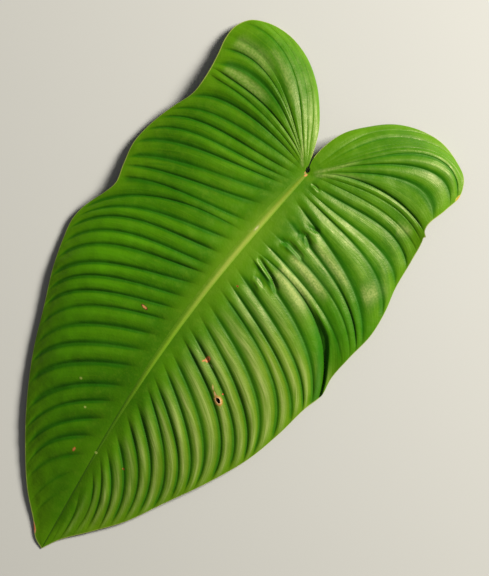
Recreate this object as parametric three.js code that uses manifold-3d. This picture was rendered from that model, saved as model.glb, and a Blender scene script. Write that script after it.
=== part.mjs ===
// A single philodendron leaf, cut from its plant and lying on its underside.
// Sizes are in mm. While it is being shaped, the end of the stalk is at x = 0, y = 0 and the tip lies
// toward -Y; the finished leaf is then moved so that the middle of its footprint is at the origin.
import * as THREE from "three";
import Module from "manifold-3d";
import { mergeVertices } from "three/addons/utils/BufferGeometryUtils.js";

const MIDRIB_LENGTH = 414;
const MIDRIB_SWAY = 15;
const MIDRIB_SWAY_POWER = 0.87;
const BLADE_THICKNESS = 0.85;

// The blade's outline as x, y: up the edge of the notch, round the lobe and down to the tip.
const EDGES = {
  left: [
    [-1, 2], [-5.5, 18], [-13, 38], [-24, 55], [-41, 74], [-62, 88], [-86, 94.5], [-108, 92],
    [-122, 84.5], [-129.5, 71], [-130, 58], [-127, 42], [-124.5, 20], [-125, 2], [-133.5, -20],
    [-141, -45], [-143.5, -66], [-139.5, -88], [-135.5, -106], [-140, -121], [-145.5, -134],
    [-149, -152], [-145, -176], [-138, -200], [-125, -232], [-110, -270], [-88, -312], [-66.5, -345],
    [-39, -380], [-20, -398], [-9, -410], [0, -414],
  ],
  right: [
    [0, 2], [-2.5, 14], [-0.5, 30], [6.5, 49], [21, 67], [40, 83.5], [62, 92.5], [84, 94.5],
    [104, 88.5], [119, 79], [125, 64], [121.5, 46], [116.5, 21], [119.5, 14], [123, -10],
    [125.5, -38], [130, -60], [131.7, -85], [127.5, -113], [125, -138], [127, -155], [121.8, -172],
    [115.5, -205], [106, -240], [91, -273], [66, -318], [48, -350], [26.5, -377], [7.5, -400],
    [0, -414],
  ],
};

// How the side veins run. Each row is rank, distance down the midrib, distance along the edge, and
// the angles at which the vein leaves the midrib and meets the edge, in degrees. Rank counts the
// veins from 0 at the notch to 1 at the tip.
const VEIN_RUNS = {
  left: [
    [0, 0, 92, 72, 36], [0.07, 0, 148, 60, 14], [0.13, 0, 176, 52, -5], [0.19, 0, 210, 44, -28],
    [0.235, 0, 222, 41, -40], [0.27, 0, 233, 35, -20], [0.3, 0, 245, 27, -35],
    [0.33, 0, 258, 17, -48], [0.36, 1, 273, 6, -50], [0.4, 6, 295, -8, -52],
    [0.45, 20, 323, -9, -58], [0.52, 60, 366, -6, -50], [0.6, 110, 421, -8, -62],
    [0.68, 160, 489, -10, -84], [0.75, 200, 536, -16, -88], [0.82, 245, 590, -24, -84],
    [0.9, 300, 636, -30, -78], [0.95, 348, 682, -36, -72], [1, 414, 725, -50, -76],
  ],
  right: [
    [0, 0, 92, 92, 40], [0.07, 0, 148, 70, 12], [0.13, 0, 176, 57, -22], [0.19, 0, 208, 50, -62],
    [0.235, 0, 226, 38, -62], [0.27, 0, 240, 31, -22], [0.3, 0, 252, 22, -32],
    [0.33, 0, 264, 11, -36], [0.36, 2, 279, 0, -48], [0.4, 10, 301, -12, -60],
    [0.45, 26, 346, -16, -62], [0.52, 70, 400, -8, -60], [0.6, 118, 457, -12, -72],
    [0.68, 166, 522, -18, -84], [0.75, 206, 568, -24, -88], [0.82, 250, 609, -32, -86],
    [0.9, 304, 656, -38, -84], [0.95, 346, 685, -46, -80], [1, 414, 712, -60, -76],
  ],
};
const LEAVING_SHARE = 0.4;
const ARRIVING_SHARE = 0.35;
const NOTCH_RANKS = 0.1;

// The sunken side veins. Each row is the vein's rank near the midrib, half way out and near the
// edge, then how deep it is sunk near the midrib and near the edge.
const SUNKEN_VEINS = {
  left: [
    [0.055, 0.045, 0.056, 1.2, 1], [0.095, 0.068, 0.085, 1.2, 1], [0.15, 0.113, 0.125, 1.4, 0.8],
    [0.2, 0.17, 0.165, 1.6, 1], [0.225, 0.195, 0.19, 2, 1.2], [0.248, 0.245, 0.248, 2.2, 1.6],
    [0.265, 0.281, 0.268, 2.6, 1.4], [0.3, 0.315, 0.29, 1.2, 1.4], [0.333, 0.348, 0.344, 2.2, 1.6],
    [0.367, 0.384, 0.385, 1.6, 1.8], [0.403, 0.413, 0.407, 1.6, 1.8], [0.433, 0.443, 0.437, 1.8, 1.8],
    [0.453, 0.467, 0.462, 2.2, 2], [0.478, 0.492, 0.487, 1.6, 2], [0.501, 0.511, 0.502, 2.2, 1.8],
    [0.531, 0.531, 0.519, 2, 1.8], [0.544, 0.556, 0.575, 1.6, 2.4], [0.567, 0.584, 0.595, 2.2, 1.8],
    [0.59, 0.602, 0.609, 2.4, 2], [0.612, 0.622, 0.626, 1.8, 1.4], [0.627, 0.64, 0.643, 2.2, 1.8],
    [0.648, 0.664, 0.664, 2.2, 1.8], [0.67, 0.681, 0.68, 2.4, 2], [0.691, 0.702, 0.701, 2.2, 1.8],
    [0.712, 0.725, 0.73, 1.8, 1.4], [0.74, 0.751, 0.755, 2.4, 1.2], [0.766, 0.774, 0.774, 2.4, 1.8],
    [0.791, 0.797, 0.798, 2.4, 1.8], [0.821, 0.827, 0.832, 2.4, 1.6], [0.845, 0.854, 0.861, 2.4, 1.6],
    [0.872, 0.882, 0.89, 2.4, 1.6], [0.896, 0.902, 0.911, 2.2, 1.2], [0.918, 0.921, 0.925, 2, 0.8],
    [0.936, 0.942, 0.947, 1.2, 0.6], [0.953, 0.958, 0.961, 1.4, 0.6], [0.974, 0.975, 0.977, 0.8, 0.5],
  ],
  right: [
    [0.06, 0.04, 0.045, 1.2, 1], [0.095, 0.07, 0.085, 1.6, 1.2], [0.13, 0.115, 0.12, 1, 1],
    [0.16, 0.137, 0.15, 1.8, 1.4], [0.185, 0.158, 0.172, 2.4, 2.2], [0.205, 0.195, 0.196, 2, 1.8],
    [0.24, 0.24, 0.243, 2.2, 1.6], [0.258, 0.276, 0.28, 3, 3], [0.3, 0.306, 0.305, 1, 1],
    [0.33, 0.335, 0.33, 1.4, 1], [0.374, 0.367, 0.363, 2.2, 1.6], [0.4, 0.405, 0.402, 1.4, 1.6],
    [0.418, 0.428, 0.432, 1.8, 2.2], [0.448, 0.465, 0.469, 2.2, 1.8], [0.477, 0.482, 0.48, 2.4, 2.2],
    [0.502, 0.496, 0.491, 1.8, 1.2], [0.521, 0.516, 0.506, 2.2, 1], [0.535, 0.533, 0.543, 0.8, 4],
    [0.553, 0.564, 0.565, 2.4, 2], [0.581, 0.589, 0.583, 2.4, 2.2], [0.602, 0.61, 0.604, 2.2, 1.8],
    [0.618, 0.627, 0.629, 1.8, 1.8], [0.645, 0.655, 0.657, 2.4, 2.2], [0.667, 0.676, 0.672, 2.4, 2.2],
    [0.69, 0.696, 0.693, 2.4, 2], [0.708, 0.716, 0.717, 2, 2], [0.736, 0.744, 0.745, 2.4, 2],
    [0.758, 0.766, 0.764, 2.4, 2], [0.78, 0.786, 0.785, 2.2, 1.8], [0.797, 0.808, 0.812, 2.4, 1.8],
    [0.822, 0.832, 0.84, 2.4, 1.4], [0.845, 0.854, 0.863, 2.4, 1.4], [0.872, 0.878, 0.884, 2.4, 1.2],
    [0.895, 0.899, 0.903, 2.2, 1], [0.91, 0.918, 0.924, 1.8, 0.8], [0.926, 0.933, 0.943, 1.8, 0.6],
    [0.951, 0.959, 0.966, 1.8, 0.8], [0.975, 0.979, 0.983, 0.8, 0.5],
  ],
};
const RANK_PLACES = [0.15, 0.6, 0.9];
const RANKS_LEVEL = [0.05, 0.97];
const FULL_DEPTH_SPACING = 12;
const VEIN_STEP = 0.03;
const SMOOTH_BESIDE_MIDRIB = { left: [5, 24], right: [3, 15] };
const EDGE_BAND = 9;
const DEPTH_LEFT_AT_EDGE = 0.45;
const SWELL = 0.8;

// Height of the blade's top: along the midrib by distance from the stalk, and along the edge by
// distance round it. Both lobes and the tip touch the surface.
const MIDRIB_HEIGHTS = [[0, 27], [50, 32], [130, 37], [210, 35], [290, 24], [350, 12], [395, 3], [414, 0]];
const EDGE_HEIGHTS = {
  left: [
    [92, 4], [140, 0], [176, 5], [205, 9], [240, 13], [275, 9], [310, 6], [345, 8], [372, 11], [400, 6],
    [430, 4], [480, 5.5], [540, 4.5], [600, 5], [660, 3], [700, 1.4], [725, 0],
  ],
  right: [
    [92, 5], [142, 0], [180, 4], [205, 8], [236, 14], [262, 9], [300, 6], [345, 9], [380, 8], [412, 3],
    [440, 6], [500, 5], [560, 5], [620, 3.5], [680, 1.8], [712, 0],
  ],
};
const DROOP_POWER = 1.8;
const SIDE_LIFT = 0.035;

// The midrib: half width and depth of keel by distance from the stalk. Its top stands a little
// proud of the blade, and its end at the notch is rounded.
const MIDRIB_HALF_WIDTHS = [[0, 4.6], [60, 4.1], [150, 3.1], [240, 2.2], [320, 1.3], [414, 0.8]];
const KEEL_DEPTHS = [[0, 7], [60, 6], [150, 4.8], [240, 3.4], [320, 2.2], [380, 1.4], [414, 1.1]];
const MIDRIB_PROUD = 0.35;
const TIP_PROUD = 0.12;
const FLAT_TOP_SHARE = 0.7;
const MIDRIB_SIDE_DROP = 0.2;
const MIDRIB_START = -5;
const MIDRIB_END = 414.8;
const MIDRIB_ROUND_END = 5;
const BLUNT_END = 0.3;
const END_KEEL_SHARE = 0.6;
const MIDRIB_STATIONS = 30;
const STATION_CROWDING = 1.4;
const KEEL_SIDES = 8;

// The cut stub of the leaf stalk under the base of the midrib, leaning back under the blade.
const STALK_RADIUS = 4.2;
const STALK_FLARE = 1.1;
const STALK_STUB = 13;
const STALK_ROOT_DEPTH = 3;
const STALK_LEAN = 12;
const STALK_PLACE = -5;
const STALK_SIDES = 16;
const CUT_CHAMFER = 0.4;

// A bitten hole in the right half: its middle and its corners about that middle.
const BITE_MIDDLE = [52, -211];
const BITE_CORNERS = [[-3.2, -0.6], [-1, 1.8], [1.4, 1.2], [2.8, -0.4], [1.2, -2.2], [-1.4, -1.6]];
const BITE_REACH = 60;

// The mesh of the blade: its inner edge is tucked into the midrib, and veins stand out underneath.
const TUCKED_SHARE = 0.3;
const MOST_TUCKED = 0.5;
const VEIN_RIDGE = 0.7;
const VEIN_RIDGE_START = 0.1;
const WIDE_SWELLING_RANKS = 0.02;
const WIDE_SWELLING_SHARES = [0.28, 0.72];
const NARROW_SWELLING_SHARES = [0.5];
const ROW_SHARES = [0, 0.07, 0.18, 0.32, 0.48, 0.64, 0.79, 0.91, 1];
const MIN_TRIANGLE_SIDE = 1e-4;
const FINEST_DETAIL = 0.02;
const LEAF_COLOUR = 0x4a7d1a;

const radians = THREE.MathUtils.degToRad;
const mix = THREE.MathUtils.lerp;
const ramp = (value, low, high) => THREE.MathUtils.clamp((value - low) / (high - low), 0, 1);

// A curve through set values that never swings past them: each row of the table starts with its
// place, and the function it returns gives the other columns at any place.
function steadyCurve(table) {
  const places = table.map((row) => row[0]);
  const values = table.map((row) => row.slice(1));
  const last = places.length - 1;
  const gap = (i) => places[i + 1] - places[i];
  const rise = (i, k) => (values[i + 1][k] - values[i][k]) / gap(i);
  const slopes = values.map((row, i) => row.map((_, k) => {
    if (i === 0) return rise(0, k);
    if (i === last) return rise(last - 1, k);
    const before = rise(i - 1, k);
    const after = rise(i, k);
    if (before * after <= 0) return 0;
    const first = 2 * gap(i) + gap(i - 1);
    const second = gap(i) + 2 * gap(i - 1);
    return (first + second) / (first / before + second / after);
  }));
  return (place) => hermite(places, values, slopes, place);
}

// A rounder curve through the points of an outline, by distance along its corners.
function outlineCurve(points) {
  const places = [0];
  for (let i = 1; i < points.length; i += 1) {
    places.push(places[i - 1] + Math.hypot(points[i][0] - points[i - 1][0], points[i][1] - points[i - 1][1]));
  }
  const gap = (i) => places[i + 1] - places[i];
  const rise = (i, k) => (points[i + 1][k] - points[i][k]) / gap(i);
  const last = points.length - 1;
  const slopes = points.map((row, i) => row.map((_, k) => {
    if (i === 0) return rise(0, k);
    if (i === last) return rise(last - 1, k);
    return (rise(i - 1, k) * gap(i) + rise(i, k) * gap(i - 1)) / (gap(i) + gap(i - 1));
  }));
  return { length: places[last], at: (place) => hermite(places, points, slopes, place) };
}

function hermite(places, values, slopes, place) {
  const last = places.length - 1;
  const p = THREE.MathUtils.clamp(place, places[0], places[last]);
  let i = 0;
  while (i < last - 1 && p >= places[i + 1]) i += 1;
  const gap = places[i + 1] - places[i];
  const t = (p - places[i]) / gap;
  const start = (1 + 2 * t) * (1 - t) ** 2;
  const startSlope = t * (1 - t) ** 2 * gap;
  const endSlope = t * t * (t - 1) * gap;
  return values[i].map((value, k) => start * value + (1 - start) * values[i + 1][k]
    + startSlope * slopes[i][k] + endSlope * slopes[i + 1][k]);
}

const midribHeight = steadyCurve(MIDRIB_HEIGHTS);
const midribHalfWidth = steadyCurve(MIDRIB_HALF_WIDTHS);
const keelDepth = steadyCurve(KEEL_DEPTHS);

// The midrib's middle line seen from above, at a distance down from the stalk.
function midribAt(down) {
  const share = THREE.MathUtils.clamp(down / MIDRIB_LENGTH, 0, 1);
  return [-MIDRIB_SWAY * Math.sin(Math.PI * share ** MIDRIB_SWAY_POWER), -down];
}

// One half of the blade: where its veins run and how high its top is, by rank and by reach, which is
// 0 at the midrib and 1 at the edge.
class HalfBlade {
  constructor(side) {
    this.side = side;
    this.out = side === "left" ? -1 : 1;
    this.edge = outlineCurve(EDGES[side]);
    this.run = steadyCurve(VEIN_RUNS[side]);
    this.edgeHeight = steadyCurve(EDGE_HEIGHTS[side]);
    this.notchTop = VEIN_RUNS[side][0][2];
  }

  vein(rank, reach) {
    const [down, along, leaving, arriving] = this.run(rank);
    const start = midribAt(down);
    const end = this.edge.at(along);
    const span = Math.hypot(end[0] - start[0], end[1] - start[1]);
    const left = radians(leaving);
    const met = radians(arriving);
    const first = [
      start[0] + LEAVING_SHARE * span * this.out * Math.cos(left),
      start[1] + LEAVING_SHARE * span * Math.sin(left),
    ];
    const second = [
      end[0] - ARRIVING_SHARE * span * this.out * Math.cos(met),
      end[1] - ARRIVING_SHARE * span * Math.sin(met),
    ];
    const back = 1 - reach;
    return [0, 1].map((k) => back ** 3 * start[k] + 3 * back ** 2 * reach * first[k]
      + 3 * back * reach ** 2 * second[k] + reach ** 3 * end[k]);
  }

  // The veins next to the notch are drawn onto its edge.
  place(rank, reach) {
    const point = this.vein(rank, reach);
    if (rank >= NOTCH_RANKS) return point;
    const notch = this.edge.at(reach * this.notchTop);
    const bare = this.vein(0, reach);
    const pull = (1 - rank / NOTCH_RANKS) ** 2;
    return [point[0] + pull * (notch[0] - bare[0]), point[1] + pull * (notch[1] - bare[1])];
  }

  length(rank) {
    const start = this.place(rank, 0);
    const end = this.place(rank, 1);
    return Math.hypot(end[0] - start[0], end[1] - start[1]);
  }

  sunkenRank(vein, reach) {
    const [inner, middle, outer] = SUNKEN_VEINS[this.side][vein];
    const [a, b, c] = RANK_PLACES;
    const r = THREE.MathUtils.clamp(reach, RANKS_LEVEL[0], RANKS_LEVEL[1]);
    return (inner * (r - b) * (r - c)) / ((a - b) * (a - c))
      + (middle * (r - a) * (r - c)) / ((b - a) * (b - c))
      + (outer * (r - a) * (r - b)) / ((c - a) * (c - b));
  }

  // How deep a vein is sunk: less beside the midrib, toward the edge and where veins crowd together.
  sunkenDepth(vein, reach) {
    const rows = SUNKEN_VEINS[this.side];
    const rank = this.sunkenRank(vein, reach);
    const before = vein > 0 ? this.sunkenRank(vein - 1, reach) : 0;
    const after = vein < rows.length - 1 ? this.sunkenRank(vein + 1, reach) : 1;
    const a = this.place(before, reach);
    const b = this.place(after, reach);
    const back = this.place(rank, Math.max(0, reach - VEIN_STEP));
    const ahead = this.place(rank, Math.min(1, reach + VEIN_STEP));
    const run = [ahead[0] - back[0], ahead[1] - back[1]];
    const spacing = Math.abs((b[0] - a[0]) * run[1] - (b[1] - a[1]) * run[0]) / Math.hypot(...run) / 2;
    const length = this.length(rank);
    const [smooth, full] = SMOOTH_BESIDE_MIDRIB[this.side];
    const inside = ramp(reach * length, smooth, full);
    const outside = mix(DEPTH_LEFT_AT_EDGE, 1, ramp((1 - reach) * length, 0, EDGE_BAND));
    const depth = mix(rows[vein][3], rows[vein][4], reach);
    return depth * inside * outside * Math.min(1, spacing / FULL_DEPTH_SPACING);
  }

  // The blade's broad form, without its sunken veins.
  broadHeight(rank, reach) {
    const [down, along] = this.run(rank);
    const [middle] = midribHeight(down);
    const [edge] = this.edgeHeight(along);
    const lift = SIDE_LIFT * this.length(rank) * 4 * reach * (1 - reach) ** 2;
    return middle + (edge - middle) * reach ** DROOP_POWER + lift;
  }

  // Where the columns of the mesh stand between one sunken vein and the next.
  swellingShares(stop) {
    const middles = [0, ...SUNKEN_VEINS[this.side].map((vein) => vein[1]), 1];
    const wide = middles[stop + 1] - middles[stop] > WIDE_SWELLING_RANKS;
    return wide ? WIDE_SWELLING_SHARES : NARROW_SWELLING_SHARES;
  }

  // Ranks of the columns of the mesh at one reach: every sunken vein and the swelling between two.
  columns(reach) {
    const veins = SUNKEN_VEINS[this.side].map((_, vein) => ({
      rank: this.sunkenRank(vein, reach),
      depth: this.sunkenDepth(vein, reach),
      ridge: true,
    }));
    const stops = [{ rank: 0, depth: 0 }, ...veins, { rank: 1, depth: 0 }];
    const columns = [];
    stops.forEach((stop, i) => {
      columns.push({ rank: stop.rank, sink: stop.depth, ridge: Boolean(stop.ridge) });
      if (i === stops.length - 1) return;
      const next = stops[i + 1];
      this.swellingShares(i).forEach((share) => {
        const swell = 1 - (4 * share * (1 - share)) ** SWELL;
        columns.push({
          rank: mix(stop.rank, next.rank, share),
          sink: mix(stop.depth, next.depth, share) * swell,
          ridge: false,
        });
      });
    });
    return columns;
  }
}

// A closed sheet for one half of the blade, split alike on its top and its underside.
function halfBladeSolid(side) {
  const half = new HalfBlade(side);
  const top = [];
  const under = [];
  ROW_SHARES.forEach((share, row) => {
    top.push([]);
    under.push([]);
    half.columns(share).forEach(({ rank, sink, ridge }) => {
      const [down] = half.run(rank);
      const inset = TUCKED_SHARE * midribHalfWidth(down)[0];
      const tucked = Math.min(MOST_TUCKED, inset / Math.max(half.length(rank), inset));
      const reach = mix(tucked, 1, share);
      const [x, y] = half.place(rank, reach);
      const z = half.broadHeight(rank, reach) - sink;
      const ribbed = ridge ? VEIN_RIDGE * (1 - share) * ramp(share, 0, VEIN_RIDGE_START) : 0;
      top[row].push([x, y, z]);
      under[row].push([x, y, z - BLADE_THICKNESS - ribbed]);
    });
  });
  const facing = half.out > 0;
  return solidFromFaces(sheetFaces(top, under, facing));
}

// Triangles of a sheet between two like grids, with a rim all round. Each cell is split along the
// diagonal that leaves the larger smallest triangle, the same one on the top and on the underside.
function sheetFaces(top, under, facing) {
  const faces = [];
  const add = (a, b, c) => faces.push(facing ? [a, b, c] : [a, c, b]);
  const quad = (a, b, c, d) => {
    add(a, b, c);
    add(a, c, d);
  };
  const rows = top.length - 1;
  const columns = top[0].length - 1;
  const turn = facing ? 1 : -1;
  const area = (a, b, c) => turn * ((b[0] - a[0]) * (c[1] - a[1]) - (b[1] - a[1]) * (c[0] - a[0]));
  for (let i = 0; i < rows; i += 1) {
    for (let j = 0; j < columns; j += 1) {
      const corners = (grid) => [grid[i][j], grid[i + 1][j], grid[i + 1][j + 1], grid[i][j + 1]];
      const [a, b, c, d] = corners(top);
      const straight = Math.min(area(a, d, c), area(a, c, b));
      const turned = Math.min(area(b, a, d), area(b, d, c)) > straight;
      const [e, f, g, h] = corners(under);
      if (turned) {
        quad(b, a, d, c);
        quad(f, g, h, e);
      } else {
        quad(a, d, c, b);
        quad(e, f, g, h);
      }
    }
    quad(top[i][0], top[i + 1][0], under[i + 1][0], under[i][0]);
    quad(under[i][columns], under[i + 1][columns], top[i + 1][columns], top[i][columns]);
  }
  for (let j = 0; j < columns; j += 1) {
    quad(under[0][j], under[0][j + 1], top[0][j + 1], top[0][j]);
    quad(top[rows][j], top[rows][j + 1], under[rows][j + 1], under[rows][j]);
  }
  return faces;
}

// A closed solid from triangles given as three points each.
function solidFromFaces(faces) {
  const apart = (a, b) => Math.hypot(a[0] - b[0], a[1] - b[1], a[2] - b[2]) > MIN_TRIANGLE_SIDE;
  const whole = faces.filter(([a, b, c]) => apart(a, b) && apart(b, c) && apart(c, a));
  const geometry = new THREE.BufferGeometry();
  geometry.setAttribute("position", new THREE.Float32BufferAttribute(whole.flat(2), 3));
  return solidFromGeometry(geometry);
}

function solidFromGeometry(geometry) {
  const bare = geometry.clone();
  bare.deleteAttribute("normal");
  bare.deleteAttribute("uv");
  const merged = mergeVertices(bare, MIN_TRIANGLE_SIDE);
  return new wasm.Manifold(new wasm.Mesh({
    numProp: 3,
    vertProperties: merged.attributes.position.array,
    triVerts: Uint32Array.from(merged.index.array),
  }));
}

function geometryFromSolid(solid) {
  const { vertProperties, triVerts } = solid.getMesh();
  const geometry = new THREE.BufferGeometry();
  geometry.setAttribute("position", new THREE.BufferAttribute(vertProperties, 3));
  geometry.setIndex(new THREE.BufferAttribute(triVerts, 1));
  return geometry;
}

// The midrib: a flat-topped bar with a half-round keel, wide at the stalk and fine at the tip.
function midribSolid() {
  const rings = [];
  for (let i = 0; i <= MIDRIB_STATIONS; i += 1) {
    const down = mix(MIDRIB_START, MIDRIB_END, (i / MIDRIB_STATIONS) ** STATION_CROWDING);
    rings.push(midribRing(down));
  }
  const faces = [];
  const count = rings[0].length;
  for (let i = 0; i < MIDRIB_STATIONS; i += 1) {
    for (let k = 0; k < count; k += 1) {
      const next = (k + 1) % count;
      faces.push([rings[i][k], rings[i][next], rings[i + 1][next]]);
      faces.push([rings[i][k], rings[i + 1][next], rings[i + 1][k]]);
    }
  }
  for (let k = 1; k < count - 1; k += 1) {
    faces.push([rings[0][0], rings[0][k + 1], rings[0][k]]);
    faces.push([rings[MIDRIB_STATIONS][0], rings[MIDRIB_STATIONS][k], rings[MIDRIB_STATIONS][k + 1]]);
  }
  return solidFromFaces(faces);
}

// One section of the midrib, square across it.
function midribRing(down) {
  const rounded = 1 - ramp(down, MIDRIB_START - BLUNT_END, MIDRIB_START + MIDRIB_ROUND_END);
  const fullness = Math.sqrt(1 - rounded ** 2);
  const [x, y] = midribAt(down);
  const [height] = midribHeight(down);
  const half = midribHalfWidth(down)[0] * fullness;
  const keel = keelDepth(down)[0] * mix(END_KEEL_SHARE, 1, fullness);
  const proud = mix(TIP_PROUD, MIDRIB_PROUD, ramp(MIDRIB_LENGTH - down, 0, MIDRIB_LENGTH / 4));
  const flat = FLAT_TOP_SHARE * half;
  const ring = [[x + flat, y, height + proud], [x - flat, y, height + proud]];
  for (let k = 0; k <= KEEL_SIDES; k += 1) {
    const turn = (Math.PI * k) / KEEL_SIDES;
    const below = MIDRIB_SIDE_DROP + (keel - MIDRIB_SIDE_DROP) * Math.sin(turn);
    ring.push([x - half * Math.cos(turn), y, height - below]);
  }
  return ring;
}

// The stub of the leaf stalk, cut square, standing down from the base of the midrib.
function stalkStubSolid() {
  const root = midribHeight(0)[0] - STALK_ROOT_DEPTH;
  const length = keelDepth(0)[0] - STALK_ROOT_DEPTH + STALK_STUB;
  const profile = [
    [0, 0], [STALK_RADIUS - CUT_CHAMFER, 0], [STALK_RADIUS, CUT_CHAMFER], [STALK_RADIUS, length / 2],
    [STALK_RADIUS * STALK_FLARE, length], [0, length],
  ].map(([radius, along]) => new THREE.Vector2(radius, along));
  const stub = new THREE.LatheGeometry(profile, STALK_SIDES);
  stub.translate(0, -length, 0);
  stub.rotateX(Math.PI / 2 - radians(STALK_LEAN));
  stub.translate(0, STALK_PLACE, root);
  return solidFromGeometry(stub);
}

// The bitten hole, cut straight down through the blade.
function biteSolid() {
  const outline = new THREE.Shape(BITE_CORNERS.map(([x, y]) => new THREE.Vector2(x, y)));
  const hole = new THREE.ExtrudeGeometry(outline, { depth: BITE_REACH, bevelEnabled: false });
  hole.translate(BITE_MIDDLE[0], BITE_MIDDLE[1], 0);
  return solidFromGeometry(hole);
}

const wasm = await Module();
wasm.setup();

const leafSolid = halfBladeSolid("left")
  .add(halfBladeSolid("right"))
  .add(midribSolid())
  .add(stalkStubSolid())
  .subtract(biteSolid())
  .simplify(FINEST_DETAIL);

const leafGeometry = geometryFromSolid(leafSolid);
leafGeometry.computeBoundingBox();
const { min, max } = leafGeometry.boundingBox;
leafGeometry.translate(-(min.x + max.x) / 2, -(min.y + max.y) / 2, -min.z);
leafGeometry.computeVertexNormals();

const leaf = new THREE.Mesh(leafGeometry, new THREE.MeshStandardMaterial({
  color: LEAF_COLOUR,
  roughness: 0.42,
  metalness: 0,
  side: THREE.FrontSide,
}));
leaf.name = "leaf";

const philodendronLeaf = new THREE.Group();
philodendronLeaf.add(leaf);

export default philodendronLeaf;
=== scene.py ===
"""A philodendron leaf as picked, lying on its underside on a pale floor and seen from straight above.

Lengths in the tables are in mm in the leaf's own frame: the end of the stalk is at x = 0, y = 0 and the
tip lies toward -Y. LEAF_PLACE takes them into the part's frame, and the meshes are in metres.
"""

import math

import bmesh
import bpy
import numpy as np
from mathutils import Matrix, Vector, noise


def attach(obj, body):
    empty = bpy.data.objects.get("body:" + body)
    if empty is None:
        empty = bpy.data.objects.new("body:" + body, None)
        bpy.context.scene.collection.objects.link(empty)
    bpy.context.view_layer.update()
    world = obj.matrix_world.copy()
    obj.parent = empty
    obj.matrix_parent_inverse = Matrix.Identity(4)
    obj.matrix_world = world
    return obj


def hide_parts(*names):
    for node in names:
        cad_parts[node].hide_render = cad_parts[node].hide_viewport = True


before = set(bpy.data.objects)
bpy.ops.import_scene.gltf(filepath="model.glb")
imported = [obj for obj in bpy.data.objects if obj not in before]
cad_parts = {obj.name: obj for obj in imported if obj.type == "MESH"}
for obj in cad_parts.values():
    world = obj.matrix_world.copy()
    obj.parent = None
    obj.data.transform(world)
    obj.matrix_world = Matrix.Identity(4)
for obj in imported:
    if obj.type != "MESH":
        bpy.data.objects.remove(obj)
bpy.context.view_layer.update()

MM = 0.001
LEAF_PLACE = np.array((8.703, 160.11, 1.1))

MIDRIB_LENGTH = 414
MIDRIB_SWAY = 15
MIDRIB_SWAY_POWER = 0.87
BLADE_THICKNESS = 0.6
SAME_PLACE = 1e-6
ON_THE_CUT = 1e-7

# The blade's outline as x, y: up the edge of the notch, round the lobe and down to the tip.
EDGES = {
    "left": [
        (-1, 2), (-5.5, 18), (-13, 38), (-24, 55), (-41, 74), (-62, 88), (-86, 94.5), (-108, 92),
        (-122, 84.5), (-129.5, 71), (-130, 58), (-127, 42), (-124.5, 20), (-125, 2), (-133.5, -20),
        (-141, -45), (-143.5, -66), (-139.5, -88), (-135.5, -106), (-140, -121), (-145.5, -134),
        (-149, -152), (-145, -176), (-138, -200), (-125, -232), (-110, -270), (-88, -312),
        (-66.5, -345), (-39, -380), (-20, -398), (-9, -410), (0, -414),
    ],
    "right": [
        (0, 2), (-2.5, 14), (-0.5, 30), (6.5, 49), (21, 67), (40, 83.5), (62, 92.5), (84, 94.5),
        (104, 88.5), (119, 79), (125, 64), (121.5, 46), (116.5, 21), (119.5, 14), (123, -10),
        (125.5, -38), (130, -60), (131.7, -85), (127.5, -113), (125, -138), (127, -155), (121.8, -172),
        (115.5, -205), (106, -240), (91, -273), (66, -318), (48, -350), (26.5, -377), (7.5, -400),
        (0, -414),
    ],
}

# How the side veins run: rank, distance down the midrib, distance along the edge, and the angles at
# which the vein leaves the midrib and meets the edge. Rank runs from 0 at the notch to 1 at the tip.
VEIN_RUNS = {
    "left": [
        (0, 0, 92, 72, 36), (0.07, 0, 148, 60, 14), (0.13, 0, 176, 52, -5), (0.19, 0, 210, 44, -28),
        (0.235, 0, 222, 41, -40), (0.27, 0, 233, 35, -20), (0.3, 0, 245, 27, -35),
        (0.33, 0, 258, 17, -48), (0.36, 1, 273, 6, -50), (0.4, 6, 295, -8, -52),
        (0.45, 20, 323, -9, -58), (0.52, 60, 366, -6, -50), (0.6, 110, 421, -8, -62),
        (0.68, 160, 489, -10, -84), (0.75, 200, 536, -16, -88), (0.82, 245, 590, -24, -84),
        (0.9, 300, 636, -30, -78), (0.95, 348, 682, -36, -72), (1, 414, 725, -50, -76),
    ],
    "right": [
        (0, 0, 92, 92, 40), (0.07, 0, 148, 70, 12), (0.13, 0, 176, 57, -22), (0.19, 0, 208, 50, -62),
        (0.235, 0, 226, 38, -62), (0.27, 0, 240, 31, -22), (0.3, 0, 252, 22, -32),
        (0.33, 0, 264, 11, -36), (0.36, 2, 279, 0, -48), (0.4, 10, 301, -12, -60),
        (0.45, 26, 346, -16, -62), (0.52, 70, 400, -8, -60), (0.6, 118, 457, -12, -72),
        (0.68, 166, 522, -18, -84), (0.75, 206, 568, -24, -88), (0.82, 250, 609, -32, -86),
        (0.9, 304, 656, -38, -84), (0.95, 346, 685, -46, -80), (1, 414, 712, -60, -76),
    ],
}
LEAVING_SHARE = 0.4
ARRIVING_SHARE = 0.35
NOTCH_RANKS = 0.1

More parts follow.
